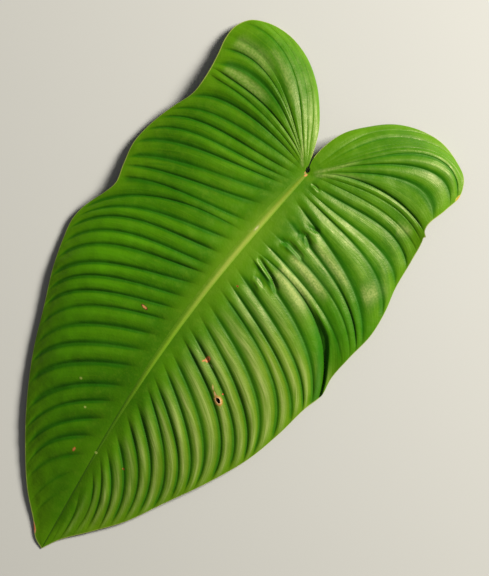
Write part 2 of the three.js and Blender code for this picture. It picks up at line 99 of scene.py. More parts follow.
# The sunken side veins, read off the photo. Each row is the vein's rank near the midrib, half
# way out and near the edge, then how deep it is sunk near the midrib and near the edge.
SUNKEN_VEINS = {
    "left": [
        (0.055, 0.045, 0.056, 1.2, 1), (0.095, 0.068, 0.085, 1.2, 1), (0.15, 0.113, 0.125, 1.4, 0.8),
        (0.2, 0.17, 0.165, 1.6, 1), (0.225, 0.195, 0.19, 2, 1.2), (0.248, 0.245, 0.248, 2.2, 1.6),
        (0.265, 0.281, 0.268, 2.6, 1.4), (0.3, 0.315, 0.29, 1.2, 1.4), (0.333, 0.348, 0.344, 2.2, 1.6),
        (0.367, 0.384, 0.385, 1.6, 1.8), (0.403, 0.413, 0.407, 1.6, 1.8), (0.433, 0.443, 0.437, 1.8, 1.8),
        (0.453, 0.467, 0.462, 2.2, 2), (0.478, 0.492, 0.487, 1.6, 2), (0.501, 0.511, 0.502, 2.2, 1.8),
        (0.531, 0.531, 0.519, 2, 1.8), (0.544, 0.556, 0.575, 1.6, 2.4), (0.567, 0.584, 0.595, 2.2, 1.8),
        (0.59, 0.602, 0.609, 2.4, 2), (0.612, 0.622, 0.626, 1.8, 1.4), (0.627, 0.64, 0.643, 2.2, 1.8),
        (0.648, 0.664, 0.664, 2.2, 1.8), (0.67, 0.681, 0.68, 2.4, 2), (0.691, 0.702, 0.701, 2.2, 1.8),
        (0.712, 0.725, 0.73, 1.8, 1.4), (0.74, 0.751, 0.755, 2.4, 1.2), (0.766, 0.774, 0.774, 2.4, 1.8),
        (0.791, 0.797, 0.798, 2.4, 1.8), (0.821, 0.827, 0.832, 2.4, 1.6), (0.845, 0.854, 0.861, 2.4, 1.6),
        (0.872, 0.882, 0.89, 2.4, 1.6), (0.896, 0.902, 0.911, 2.2, 1.2), (0.918, 0.921, 0.925, 2, 0.8),
        (0.936, 0.942, 0.947, 1.2, 0.6), (0.953, 0.958, 0.961, 1.4, 0.6), (0.974, 0.975, 0.977, 0.8, 0.5),
    ],
    "right": [
        (0.06, 0.04, 0.045, 1.2, 1), (0.095, 0.07, 0.085, 1.6, 1.2), (0.13, 0.115, 0.12, 1, 1),
        (0.16, 0.137, 0.15, 1.8, 1.4), (0.185, 0.158, 0.172, 2.4, 2.2), (0.205, 0.195, 0.196, 2, 1.8),
        (0.24, 0.24, 0.243, 2.2, 1.6), (0.258, 0.276, 0.28, 3, 3), (0.3, 0.306, 0.305, 1, 1),
        (0.33, 0.335, 0.33, 1.4, 1), (0.374, 0.367, 0.363, 2.2, 1.6), (0.4, 0.405, 0.402, 1.4, 1.6),
        (0.418, 0.428, 0.432, 1.8, 2.2), (0.448, 0.465, 0.469, 2.2, 1.8), (0.477, 0.482, 0.48, 2.4, 2.2),
        (0.502, 0.496, 0.491, 1.8, 1.2), (0.521, 0.516, 0.506, 2.2, 1), (0.535, 0.533, 0.543, 0.8, 4),
        (0.553, 0.564, 0.565, 2.4, 2), (0.581, 0.589, 0.583, 2.4, 2.2), (0.602, 0.61, 0.604, 2.2, 1.8),
        (0.618, 0.627, 0.629, 1.8, 1.8), (0.645, 0.655, 0.657, 2.4, 2.2), (0.667, 0.676, 0.672, 2.4, 2.2),
        (0.69, 0.696, 0.693, 2.4, 2), (0.708, 0.716, 0.717, 2, 2), (0.736, 0.744, 0.745, 2.4, 2),
        (0.758, 0.766, 0.764, 2.4, 2), (0.78, 0.786, 0.785, 2.2, 1.8), (0.797, 0.808, 0.812, 2.4, 1.8),
        (0.822, 0.832, 0.84, 2.4, 1.4), (0.845, 0.854, 0.863, 2.4, 1.4), (0.872, 0.878, 0.884, 2.4, 1.2),
        (0.895, 0.899, 0.903, 2.2, 1), (0.91, 0.918, 0.924, 1.8, 0.8), (0.926, 0.933, 0.943, 1.8, 0.6),
        (0.951, 0.959, 0.966, 1.8, 0.8), (0.975, 0.979, 0.983, 0.8, 0.5),
    ],
}
RANK_PLACES = (0.15, 0.6, 0.9)
LEVEL_REACHES = (0.05, 0.97)
VEIN_STEP = 0.03
# Veins closer together than the gap have less relief. The wavers make depths, heights and crests uneven.
FULL_RELIEF_GAP = 10
SUNK_SHARE, RAISED_SHARE = 0.62, 0.62
RISE_WAVER, DEPTH_WAVER = 0.8, 0.5
CREST, CREST_WAVER = 0.56, 0.22
WAVER_STEP, WAVER_ALONG = 0.83, 2.4
DEPTH_SEED, RISE_SEED, CREST_SEED = 6.1, 3.3, 9.7
SMOOTH_BESIDE_MIDRIB = {"left": (2, 22), "right": (2, 28)}
EDGE_BAND = 12
RELIEF_LEFT_AT_EDGE = 0.25
DEEP_VEIN, SHALLOW_VEIN = 1.2, 0.15
# The painted shade beside a sunken vein fades by this power on the flank that faces the light.
LIT_FLANK = 4
# Crests as high as this take the full painted sheen on their backs.
HIGH_CREST = 2.5

# A swelling in cross section is a sine wave: steeper at its first vein and fuller toward its second.
FIRST_SIDE_POWER, SECOND_SIDE_POWER = 2, 1.1
EARLIEST_CREST, LATEST_CREST = 0.2, 0.82

# Creases in the blade, as the places each runs through, its half width and its depth.
CREASES = [
    ([(16.5, -62.7), (23.4, -60.2), (33.9, -62), (41.7, -64.2)], 1.6, 2.9),
    ([(8.4, -86.3), (19.1, -90.4), (28.5, -93.8), (40, -101.3)], 1.7, 3.2),
    ([(14.2, -102.3), (19.4, -101.9), (27.9, -105.1)], 1.4, 2.1),
    ([(26, -47.4), (32.1, -46.2), (40.4, -51.2)], 1.4, 2.1),
    ([(25.2, -38.7), (35.4, -37.7), (40.3, -35.8)], 1.3, 1.5),
    ([(9, -5), (14, -5), (19, -6.5)], 1.1, 0.9),
    ([(-12.6, -9.2), (-7.4, -6.7)], 1.1, 1.1),
]
# The blade swells beside a crease, by a share of its depth. The other two count in its half widths.
SWELL_SHARE, SWELL_ASIDE, SWELL_WIDTH = 0.6, 2.2, 1.3
# The places where a crease pushes the blade up: x, y, how far along and across, and the height.
PUCKERS = [
    (35, -86, 11, 6.5, 1.5), (27, -66, 8, 4, 1.0), (31, -57.5, 7, 3.2, 0.8), (44, -46, 7, 4, 1.1),
    (26, -110, 8, 4.5, 0.6), (38, -33, 6, 3.5, 0.8),
]
# The way that the puckers run, right and down.
PUCKER_RUN = (0.82, 0.57)
# The crumpled line of the right half. The blade is smooth between the midrib and this line.
CRUMPLE_LINE = [
    (22, -28), (25, -38), (25, -47), (19, -57), (15, -66), (12, -78), (13, -90), (16, -104), (20, -112),
]
CRUMPLE_STEP, CRUMPLE_ENDS = 5, 0.15
SMOOTH_INSIDE = 0.75

# Painted highlights on the blade, such as on the backs beyond the crumpled line and on the lobes, and the
# pale ribs that fan out from the stalk: the points each runs through, its half width and how pale it is.
HIGHLIGHTS_AND_PALE_RIBS = {
    "left": [
        # Painted highlights on the left lobe.
        ([(-117, 37), (-94, 37), (-59, 31)], 5, 0.42),
        ([(-123, 62), (-95, 62), (-71, 52)], 6, 0.42),
        ([(-91, 76), (-69, 64), (-39, 41)], 2.5, 0.35),
        # A pale rib that fans out from the stalk.
        ([(-5, 1), (-12, 10), (-21, 27)], 1.3, 0.45),
    ],
    "right": [
        # Painted highlights on the backs beyond the crumpled line, on the right margin and on the right
        # lobe.
        ([(26, -84), (36, -86), (56, -92), (76, -105)], 7.5, 0.8),
        ([(29, -66), (53, -73), (74, -79), (84, -86)], 4.5, 0.75),
        ([(40, -46), (63, -53), (88, -60), (97, -66)], 4, 0.55),
        ([(104, -62), (112, -52), (117, -38)], 7, 0.6),
        ([(94, 6), (110, 14)], 5, 0.4),
        # Pale ribs that fan out from the stalk.
        ([(4, 2.4), (25, 26), (38, 43)], 1.4, 0.4),
        ([(5, 1), (28, 17), (52, 28)], 1.7, 0.35),
    ],
}
PALE_PLACE_STARTS, PALE_PLACE_ENDS = (0, 0.12), (1, 0.6)

# The sharp fold at the right margin: the side toward the lobes stands over the side toward the tip.
FOLD_LINE = [
    (70, -93), (77, -96), (85.9, -100.6), (92.8, -104.3), (100, -109), (106, -116),
    (111.7, -124.6), (117.3, -134), (122.4, -144), (126.8, -155.8), (128, -159.5),
]
FOLD_RISE, FOLD_RISE_REACH = 2.2, 20
FOLD_DROP, FOLD_DROP_REACH = 1.8, 10
FOLD_SOFT, FOLD_SHARP, FOLD_SHARPENS = 3.0, 1.0, (0.3, 0.6)
FOLD_START = 0.3
# The painted shade in the valley on the fold's tip side: how far aside it lies, its half width, and where
# it deepens.
VALLEY_ASIDE, VALLEY_WIDTH, VALLEY_DEEPENS = 4, 6, (0.08, 0.35)
# Beyond the fold the blade is smoother, up to some distance from it.
FLAP_SMOOTHNESS = 0.8
FLAP_STARTS, FLAP_ENDS, FLAP_SHARES = (0, 4), (30, 12), (0.25, 0.6)

# The hole that was bitten out of the blade.
BITE_MIDDLE = (53, -211.3)
BITE_CORNERS = [(-3.4, 0.9), (-1.4, 1.9), (0.9, 1.3), (2.9, -1.0), (1.6, -2.2), (-1.4, -1.5)]
BITE_NEAR = 9

# The notch between the lobes ends in a small round hole, and a nib stands out of the right margin.
NOTCH_HOLE = (-0.5, 3.2)
NOTCH_HOLE_RADIUS = 2.5
NOTCH_HOLE_REACH = 4.8
NIB_PLACE = (119, 17)
NIB_HALF_WIDTH = 1.6
NIB_LENGTH = (3.2, -1.2)

# Height of the blade's top: along the midrib by distance from the stalk, and along the edge.
MIDRIB_HEIGHTS = [(0, 27), (50, 32), (130, 37), (210, 35), (290, 24), (350, 12), (395, 3), (414, 0)]
EDGE_HEIGHTS = {
    "left": [
        (92, 4), (140, 0), (176, 5), (205, 9), (240, 13), (275, 9), (310, 6), (345, 8), (372, 11),
        (400, 6), (430, 4), (480, 5.5), (540, 4.5), (600, 5), (660, 3), (700, 1.4), (725, 0),
    ],
    "right": [
        (92, 5), (142, 0), (180, 4), (205, 8), (236, 14), (262, 9), (300, 6), (345, 9), (380, 8),
        (412, 3), (440, 6), (500, 5), (560, 5), (620, 3.5), (680, 1.8), (712, 0),
    ],
}
DROOP_POWER = 1.25
SIDE_LIFT = 0.035

# The midrib, by distance from the stalk: its half width and the depth of its keel, then the half width
# and the height of the crown that stands above the blade.
MIDRIB_HALF_WIDTHS = [(0, 4.9), (60, 4.5), (150, 3.6), (240, 2.5), (320, 1.4), (414, 0.7)]
MIDRIB_TOP = 0.3
MIDRIB_TIP = 413.6
KEEL_DEPTHS = [(0, 7), (60, 6), (150, 4.8), (240, 3.4), (320, 2.2), (380, 1.4), (414, 1.1)]
CROWN_HALF_WIDTHS = [
    (0, 1.7), (7, 2.4), (18, 3.1), (35, 3.7), (60, 4.1), (150, 3.4), (240, 2.4), (320, 1.4), (414, 0.7),
]
CROWN_HEIGHTS = [
    (0, 0.15), (14, 0.4), (40, 0.75), (60, 0.8), (150, 0.6), (240, 0.35), (320, 0.15), (414, 0.1),
]
CROWN_PROFILE = [(-1, -0.3), (-0.7, 0.05), (-0.25, 0.5), (0.2, 0.95), (0.5, 1), (0.82, 0.6), (1, -0.3)]
CROWN_LIFT, CROWN_END_DROP = 0.1, 0.35
CROWN_WAVER, CROWN_WAVER_LENGTH, CROWN_WAVER_SEED = 0.4, 30, 3
KEEL_TUCK, KEEL_AT_ENDS = 0.4, 0.5
MIDRIB_ROUNDING = 4
MIDRIB_STATIONS, MIDRIB_SIDES = 150, 36
STATION_GATHER = 1.25

# The stub of the leaf stalk, under the base of the midrib: radius by distance from its cut end.
STALK_ROOT = (0, -5, 24)
STALK_LEAN = math.radians(12)
STALK_LENGTH = 17
STALK_PROFILE = [(0, 0), (2.6, -0.1), (3.75, 0), (4.15, 0.35), (4.2, 1.2), (4.15, 6), (4.3, 11), (4.65, 17)]
STALK_SIDES = 32

# The mesh of one half of the blade.
ROWS = 110
WIDE_SWELLING = 0.016
WIDE_SHARES = (0.04, 0.1, 0.19, 0.3, 0.42, 0.54, 0.66, 0.77, 0.87, 0.95)
NARROW_SHARES = (0.07, 0.2, 0.36, 0.52, 0.68, 0.83, 0.94)
TUCKED_SHARE = 0.3
MOST_TUCKED = 0.5
FINE_VEIN_DEPTH = 0.1
FINE_VEINS = (3, 2)
WOBBLES = ((34, 0.8), (13, 0.3), (6, 0.1))
VEIN_RIDGE = 0.7
RIDGE_SHARE = 0.12
THREAD_DEPTH = {"left": 0.28, "right": 0.34}
THREAD_SHARE = 0.09
ROW_GATHER = 0.06
NOTCH_EDGE_STARTS = 12
# Finer forms begin over a distance from the midrib and end over one from the edge.
THREADS_BEGIN, THREADS_END = (3, 12), (0, 5)
FINE_FORMS_BEGIN, FINE_FORMS_END = (6, 36), (0, 6)
CREASES_BEGIN = (2, 8)
RIB_LOST_AT_EDGE = 0.8

# The broad tones of the blade, by distance from the midrib, by y or by distance from the stalk: the pale
# band, the outer parts painted lighter as painted light, the painted sheen on the backs and the deep
# margin.
PALE_BAND_WIDTHS = {"left": 15, "right": 22}
PALE_BAND_FULL, PALE_BAND_STARTS, PALE_BAND_ENDS = 0.2, (8, 55), (210, 110)
OUTER_STARTS, OUTER_BELOW = (12, 70), (-60, -170)
BACKS_START, BACKS_BELOW, BACKS_LEAST = (14, 40), (-90, -175), 0.1
DEEP_MARGIN_STARTS, DEEP_MARGIN_BELOW, DEEP_MARGIN_ABOVE = (72, 100), (-62, -86), (-142, -122)


def hermite(places, values, slopes, at):
    at = np.clip(np.asarray(at, float), places[0], places[-1])
    i = np.clip(np.searchsorted(places, at, side="right") - 1, 0, len(places) - 2)
    gap = places[i + 1] - places[i]
    t = ((at - places[i]) / gap)[..., None]
    gap = gap[..., None]
    start = (1 + 2 * t) * (1 - t) ** 2
    return (
        start * values[i]
        + (1 - start) * values[i + 1]
        + t * (1 - t) ** 2 * gap * slopes[i]
        - t * t * (1 - t) * gap * slopes[i + 1]
    )


def steady_curve(table):
    """A curve through set values that never swings past them, by the first number of each row."""
    rows = np.array(table, float)
    places, values = rows[:, 0], rows[:, 1:]
    gaps = np.diff(places)[:, None]
    rises = np.diff(values, axis=0) / gaps
    slopes = np.empty_like(values)
    slopes[0], slopes[-1] = rises[0], rises[-1]
    before, after = rises[:-1], rises[1:]
    first = 2 * gaps[1:] + gaps[:-1]
    second = gaps[1:] + 2 * gaps[:-1]
    level = before * after <= 0
    safe_before = np.where(level, 1, before)
    safe_after = np.where(level, 1, after)
    slopes[1:-1] = np.where(level, 0, (first + second) / (first / safe_before + second / safe_after))
    return lambda at: hermite(places, values, slopes, at)


def outline_curve(points):
    """A rounder curve through the points of an outline, by distance along its corners."""
    values = np.array(points, float)
    steps = np.hypot(*np.diff(values, axis=0).T)
    places = np.concatenate(([0], np.cumsum(steps)))
    gaps = steps[:, None]
    rises = np.diff(values, axis=0) / gaps
    slopes = np.empty_like(values)
    slopes[0], slopes[-1] = rises[0], rises[-1]
    slopes[1:-1] = (rises[:-1] * gaps[1:] + rises[1:] * gaps[:-1]) / (gaps[1:] + gaps[:-1])
    return lambda at: hermite(places, values, slopes, at)


def ramp(value, low, high):
    return np.clip((value - low) / (high - low), 0, 1)


def ease(share):
    return share * share * (3 - 2 * share)


def mix(a, b, share):
    return a + (b - a) * share


def beside_line(points, line):
    """Distance to a line of straight runs, positive on its left, and the share of its length passed."""
    corners = np.array(line, float)
    lengths = np.hypot(*np.diff(corners, axis=0).T)
    passed = np.concatenate(([0], np.cumsum(lengths)))
    nearest = np.full(points.shape[:-1], np.inf)
    side = np.zeros_like(nearest)
    share = np.zeros_like(nearest)
    for a, b, length, before in zip(corners, corners[1:], lengths, passed):
        along = (b - a) / length
        offset = points - a
        run = np.clip(offset @ along, 0, length)
        gap = offset - run[..., None] * along
        distance = np.hypot(gap[..., 0], gap[..., 1])
        closer = distance < nearest
        turned = along[0] * offset[..., 1] - along[1] * offset[..., 0]
        nearest = np.where(closer, distance, nearest)
        side = np.where(closer, np.where(turned >= 0, distance, -distance), side)
        share = np.where(closer, (before + run) / passed[-1], share)
    return side, share


def tapered(share):
    """How much of a crease is left at a share of its length: none at its two ends."""
    return np.clip(4 * share * (1 - share), 0, 1) ** 0.5


def creased_height(points):
    """What the creases, the swelling beside each, the puckers and the fold add to the blade's height."""
    height = np.zeros(points.shape[:-1])
    for line, width, depth in CREASES:
        side, share = beside_line(points, line)
        taper = tapered(share)
        beside = (side + SWELL_ASIDE * width) / (SWELL_WIDTH * width)
        height -= depth * taper * np.exp(-((side / width) ** 2))
        height += SWELL_SHARE * depth * taper * np.exp(-(beside**2))
    right, down = PUCKER_RUN
    for x, y, along, across, rise in PUCKERS:
        offset = points - np.array((x, y))
        run = (offset[..., 0] * right - offset[..., 1] * down) / along
        cross = (offset[..., 0] * down + offset[..., 1] * right) / across
        height += rise * np.exp(-(run**2) - cross**2)
    side, share = beside_line(points, FOLD_LINE)
    over = FOLD_RISE * np.exp(-np.maximum(side, 0) / FOLD_RISE_REACH)
    under = -FOLD_DROP * np.exp(np.minimum(side, 0) / FOLD_DROP_REACH)
    sharpness = mix(FOLD_SOFT, FOLD_SHARP, ease(ramp(share, *FOLD_SHARPENS)))
    step = mix(under, over, ease(np.clip(0.5 + 0.5 * side / sharpness, 0, 1)))
    return height + step * ease(ramp(share, 0, FOLD_START))


def shaded(points):
    """How much shade is painted at a place: by how deep it lies in a crease, and in the valley on the
    fold's tip side.
    """
    side, share = beside_line(points, FOLD_LINE)
    depth = np.exp(-(((side + VALLEY_ASIDE) / VALLEY_WIDTH) ** 2)) * ease(ramp(share, *VALLEY_DEEPENS))
    for line, width, _ in CREASES:
        side, share = beside_line(points, line)
        depth = np.maximum(depth, np.exp(-((side / width) ** 2)) * tapered(share))
    return depth


def set_in(points):
    """Share of the right half's relief that is there: little between the midrib and the crumpled line."""
    side, share = beside_line(points, CRUMPLE_LINE)
    inside = ease(ramp(side, -CRUMPLE_STEP, 0))
    smooth = SMOOTH_INSIDE * (1 - inside) * ease(ramp(share, 0, CRUMPLE_ENDS))
    return 1 - smooth * ease(ramp(share, 1, 1 - CRUMPLE_ENDS))


def flap(points):
    """How far the blade beyond the fold is drawn smooth."""
    side, share = beside_line(points, FOLD_LINE)
    smooth = FLAP_SMOOTHNESS * ease(ramp(side, *FLAP_STARTS)) * ease(ramp(side, *FLAP_ENDS))
    return smooth * ease(ramp(share, *FLAP_SHARES))


def pushed_aside(points):
    """The blade's places with the round end of the notch opened and the nib drawn out of the margin."""
    offset = points - np.array(NOTCH_HOLE)
    distance = np.maximum(np.hypot(offset[..., 0], offset[..., 1]), 1e-6)
    opened = np.sqrt(distance**2 + NOTCH_HOLE_RADIUS**2 * np.exp(-((distance / NOTCH_HOLE_REACH) ** 2)))
    moved = points + offset * ((opened / distance - 1)[..., None])
    from_nib = points - np.array(NIB_PLACE)
    nib = np.exp(-((from_nib[..., 0] ** 2 + from_nib[..., 1] ** 2) / NIB_HALF_WIDTH**2))
    return moved + nib[..., None] * np.array(NIB_LENGTH)


midrib_height = steady_curve(MIDRIB_HEIGHTS)
midrib_half_width = steady_curve(MIDRIB_HALF_WIDTHS)
keel_depth = steady_curve(KEEL_DEPTHS)
crown_half_width = steady_curve(CROWN_HALF_WIDTHS)
crown_height = steady_curve(CROWN_HEIGHTS)
crown_profile = steady_curve(CROWN_PROFILE)


def midrib_at(down):
    share = np.clip(down / MIDRIB_LENGTH, 0, 1)
    return np.stack([-MIDRIB_SWAY * np.sin(math.pi * share**MIDRIB_SWAY_POWER), -down], -1)


class HalfBlade:
    """Where the veins of one half run and how high its top is, by rank and by reach from the midrib."""

    def __init__(self, side):
        self.side = side
        self.out = -1 if side == "left" else 1
        self.edge = outline_curve(EDGES[side])
        self.run = steady_curve(VEIN_RUNS[side])
        self.edge_height = steady_curve(EDGE_HEIGHTS[side])
        self.notch_top = VEIN_RUNS[side][0][2]
        self.veins = np.array(SUNKEN_VEINS[side], float)

    def vein(self, rank, reach):
        run = self.run(rank)
        start = midrib_at(run[..., 0])
        end = self.edge(run[..., 1])
        span = np.linalg.norm(end - start, axis=-1)[..., None]
        left, met = np.radians(run[..., 2]), np.radians(run[..., 3])
        first = start + LEAVING_SHARE * span * np.stack([self.out * np.cos(left), np.sin(left)], -1)
        second = end - ARRIVING_SHARE * span * np.stack([self.out * np.cos(met), np.sin(met)], -1)
        r = np.asarray(reach, float)[..., None]
        back = 1 - r
        return back**3 * start + 3 * back**2 * r * first + 3 * back * r**2 * second + r**3 * end

    def place(self, rank, reach):
        """The veins next to the notch are drawn onto its edge."""
        rank, reach = np.broadcast_arrays(rank, reach)
        notch = self.edge(reach * self.notch_top) - self.vein(np.zeros_like(rank), reach)
        pull = np.clip(1 - rank / NOTCH_RANKS, 0, 1) ** 2
        return self.vein(rank, reach) + pull[..., None] * notch

    def length(self, rank):
        span = self.place(rank, np.ones_like(rank)) - self.place(rank, np.zeros_like(rank))
        return np.linalg.norm(span, axis=-1)

    def sunken_ranks(self, reach):
        """Rank of every side vein at each reach: a parabola through its three places."""
        r = np.clip(reach, *LEVEL_REACHES)[:, None]
        a, b, c = RANK_PLACES
        inner, middle, outer = self.veins[:, :3].T
        return (
            inner * (r - b) * (r - c) / ((a - b) * (a - c))
            + middle * (r - a) * (r - c) / ((b - a) * (b - c))
            + outer * (r - a) * (r - b) / ((c - a) * (c - b))
        )

    def crowding(self, stops, reach):
        """Share of the full relief that a swelling has: less where its two veins are close together."""
        r = np.broadcast_to(reach[:, None], (len(reach), stops.shape[1] - 1))
        across = self.place(stops[:, 1:], r) - self.place(stops[:, :-1], r)
        middle = (stops[:, 1:] + stops[:, :-1]) / 2
        ahead = self.place(middle, np.minimum(1, r + VEIN_STEP))
        run = ahead - self.place(middle, np.maximum(0, r - VEIN_STEP))
        crossed = np.abs(across[..., 0] * run[..., 1] - across[..., 1] * run[..., 0])
        return np.minimum(1, crossed / np.linalg.norm(run, axis=-1) / FULL_RELIEF_GAP)

    def unevenness(self, reach, count, seed):
        """How much each swelling differs from its neighbours, from -1 to 1, drifting along its length."""
        at = seed + self.out
        return np.array([
            [noise.noise(Vector((WAVER_STEP * k, WAVER_ALONG * r, at))) for k in range(count)]
            for r in reach
        ])

    def relief_left(self, ranks, reach):
        """Share of the relief that is left: less beside the midrib and toward the edge."""
        length = self.length(ranks)
        inside = ease(ramp(reach[:, None] * length, *SMOOTH_BESIDE_MIDRIB[self.side]))
        outside = mix(RELIEF_LEFT_AT_EDGE, 1, ramp((1 - reach[:, None]) * length, 0, EDGE_BAND))
        return inside * outside

    def broad_height(self, rank, reach):
        """The blade's broad form, without its sunken veins."""
        run = self.run(rank)
        middle = midrib_height(run[..., 0])[..., 0]
        edge = self.edge_height(run[..., 1])[..., 0]
        lift = SIDE_LIFT * self.length(rank) * 4 * reach * (1 - reach) ** 2
        return middle + (edge - middle) * reach**DROOP_POWER + lift


def vein_relief(half, reach):
    """Ranks and depths of the sunken veins, and the height and crest of each swelling, at each reach."""
    ranks = half.sunken_ranks(reach)
    left = np.pad(half.relief_left(ranks, reach), ((0, 0), (1, 1)))
    stops = np.pad(ranks, ((0, 0), (1, 1)), constant_values=(0, 1))
    crowding = half.crowding(stops, reach)
    full = np.pad(mix(half.veins[:, 3], half.veins[:, 4], reach[:, None]), ((0, 0), (1, 1)))
    beside = np.pad((crowding[:, :-1] + crowding[:, 1:]) / 2, ((0, 0), (1, 1)))
    swellings = crowding.shape[1]
    depths = SUNK_SHARE * full * beside * left
    depths = depths * (1 + DEPTH_WAVER * half.unevenness(reach, swellings + 1, DEPTH_SEED))
    rises = RAISED_SHARE * (full[:, :-1] + full[:, 1:]) / 2
    rises = rises * crowding * np.maximum(left[:, :-1], left[:, 1:])
    rises = rises * (1 + RISE_WAVER * half.unevenness(reach, swellings, RISE_SEED))
    crests = CREST + CREST_WAVER * half.unevenness(reach, swellings, CREST_SEED)
    return stops, depths, rises, np.clip(crests, EARLIEST_CREST, LATEST_CREST)


def blade_columns(half, reach):
    """Rank, relief, painted shade, ridge, ripple, thread and crest of each column of the mesh, at each
    reach.
    """
    stops, depths, rises, crests = vein_relief(half, reach)
    middles = np.concatenate(([0], half.veins[:, 1], [1]))
    columns = []
    for k in range(rises.shape[1]):
        wide = middles[k + 1] - middles[k] > WIDE_SWELLING
        fine = FINE_VEINS[0] if wide else FINE_VEINS[1]
        early, rise = crests[:, k], rises[:, k]
        for share in (0, *(WIDE_SHARES if wide else NARROW_SHARES)):
            before = 0.5 * share / early
            after = 0.5 + 0.5 * (share - early) / (1 - early)
            wave = np.sin(math.pi * np.where(share < early, before, after))
            raised = wave ** np.where(share < early, FIRST_SIDE_POWER, SECOND_SIDE_POWER)
            rank = mix(stops[:, k], stops[:, k + 1], share)
            depth = mix(depths[:, k], depths[:, k + 1], share)
            ridge = max(0, 1 - min(share, 1 - share) / RIDGE_SHARE)
            ripple = -math.cos(2 * math.pi * fine * share) * early
            thread = max(0, 1 - min(share, 1 - share) / THREAD_SHARE) * np.clip(depth / DEEP_VEIN, 0, 1)
            # The painted shade: deep green on the flank of a swelling that faces away from the light, faint
            # on its lit flank.
            shade = np.clip(depth / DEEP_VEIN, SHALLOW_VEIN, 1)
            painted_shade = (1 - raised) ** np.where(share < early, LIT_FLANK, 1) * shade
            ridge = ridge * np.maximum(0, depth)
            # How much painted sheen the back of a swelling takes: most on its high crests.
            crest = raised**4 * np.clip(rise + depth, 0, HIGH_CREST) / HIGH_CREST
            columns.append((rank, rise * raised - depth, painted_shade, ridge, ripple, thread, crest))
    level = np.zeros_like(reach)
    columns.append((level + 1, level, level, level, level, level, level))
    return [np.stack(part, 1) for part in zip(*columns)]


def wobble(points):
    """Gentle unevenness of a grown surface, in mm."""
    height = np.zeros(len(points))
    for i, (x, y) in enumerate(points):
        for size, amount in WOBBLES:
            height[i] += amount * noise.noise(Vector((x / size, y / size, size)))
    return height


def add_object(name, data):
    """Puts an object with this mesh, camera or light into the scene."""
    added = bpy.data.objects.new(name, data)
    bpy.context.scene.collection.objects.link(added)
    return added


def make_object(name, bm, materials):
    """Makes an object of a mesh, shaded smooth but for the edges between two materials."""
    for face in bm.faces:
        face.smooth = True
    for edge in bm.edges:
        if len({face.material_index for face in edge.link_faces}) > 1:
            edge.smooth = False
    mesh = bpy.data.meshes.new(name)
    bm.to_mesh(mesh)
    bm.free()
    for material in materials:
        mesh.materials.append(material)
    return add_object(name, mesh)


def bite_out(bm):
    """Cuts the bitten hole through the sheet, before it has its thickness."""
    middle = Vector((*(np.array(BITE_MIDDLE) + LEAF_PLACE[:2]) * MM, 0))
    corners = [middle + Vector((x, y, 0)) * MM for x, y in BITE_CORNERS]

    def beside(face):
        gap = face.calc_center_median() - middle
        return math.hypot(gap.x, gap.y)

    for a, b in zip(corners, corners[1:] + corners[:1]):
        near = [face for face in bm.faces if beside(face) < BITE_NEAR * MM]
        parts = {item for face in near for item in (face, *face.edges, *face.verts)}
        across = Vector((a.y - b.y, b.x - a.x, 0)).normalized()
        bmesh.ops.bisect_plane(bm, geom=list(parts), dist=ON_THE_CUT, plane_co=a, plane_no=across)
    inside = []
    for face in bm.faces:
        if beside(face) < BITE_NEAR * MM:
            centre = face.calc_center_median()
            turns = [
                (b.x - a.x) * (centre.y - a.y) - (b.y - a.y) * (centre.x - a.x) < 0
                for a, b in zip(corners, corners[1:] + corners[:1])
            ]
            if all(turns):
                inside.append(face)
    bmesh.ops.delete(bm, geom=inside, context="FACES")


def blade_surface(side):
    """The top of one half of the blade as a grid of places, and what the materials read at each."""
    half = HalfBlade(side)
    right = side == "right"
    t = np.linspace(0, 1, ROWS + 1)
    share = t - ROW_GATHER * np.sin(2 * math.pi * t) / (2 * math.pi)
    rank, relief, painted_shade, ridge, ripple, thread, crest = blade_columns(half, share)
    down = half.run(rank)[..., 0]
    inset = TUCKED_SHARE * crown_half_width(down)[..., 0]
    length = half.length(rank)
    tucked = np.minimum(MOST_TUCKED, inset / np.maximum(length, inset))
    reach = mix(tucked, 1, share[:, None])
    flat = half.place(rank, reach)
    from_midrib = reach * length
    from_edge = (1 - reach) * length
    if right:
        relief = relief * (1 - flap(flat)) * set_in(flat)
        # Painted shade in the creases and in the valley beside the fold.
        painted_shade = np.maximum(painted_shade, shaded(flat))
    height = half.broad_height(rank, reach) + relief
    threads = THREAD_DEPTH[side] * thread * ramp(from_midrib, *THREADS_BEGIN)
    height = height - threads * ramp(from_edge, *THREADS_END)
    faded = ramp(from_midrib, *FINE_FORMS_BEGIN) * ramp(from_edge, *FINE_FORMS_END)
    height = height + FINE_VEIN_DEPTH * ripple * faded
    height = height + wobble(flat.reshape(-1, 2)).reshape(height.shape) * faded
    if right:
        height = height + creased_height(flat) * ramp(from_midrib, *CREASES_BEGIN)
    rib = ridge * VEIN_RIDGE * (1 - RIB_LOST_AT_EDGE * reach)
    height = np.maximum(height, BLADE_THICKNESS + rib - LEAF_PLACE[2])
    top = (np.dstack([pushed_aside(flat), height]) + LEAF_PLACE) * MM

    from_notch = np.linalg.norm(flat - half.place(np.zeros_like(rank), reach), axis=-1)
    from_edge = np.minimum(from_edge, from_notch + NOTCH_EDGE_STARTS * (from_midrib < NOTCH_EDGE_STARTS))
    outer = outer_part(flat, from_midrib)
    return top, {
        "rank": rank, "painted_shade": painted_shade, "rib": rib, "crest": crest,
        "from_midrib": from_midrib, "from_edge": from_edge,
        "pale_band": pale_band(side, from_midrib, down), "highlight_and_rib": highlights_and_pale_ribs(side, flat),
        "outer_left": outer * (not right), "outer_right": outer * right,
        "painted_sheen": painted_sheen(flat, from_midrib) * right,
        "deep_margin": deep_margin(flat, from_midrib) * right,
    }


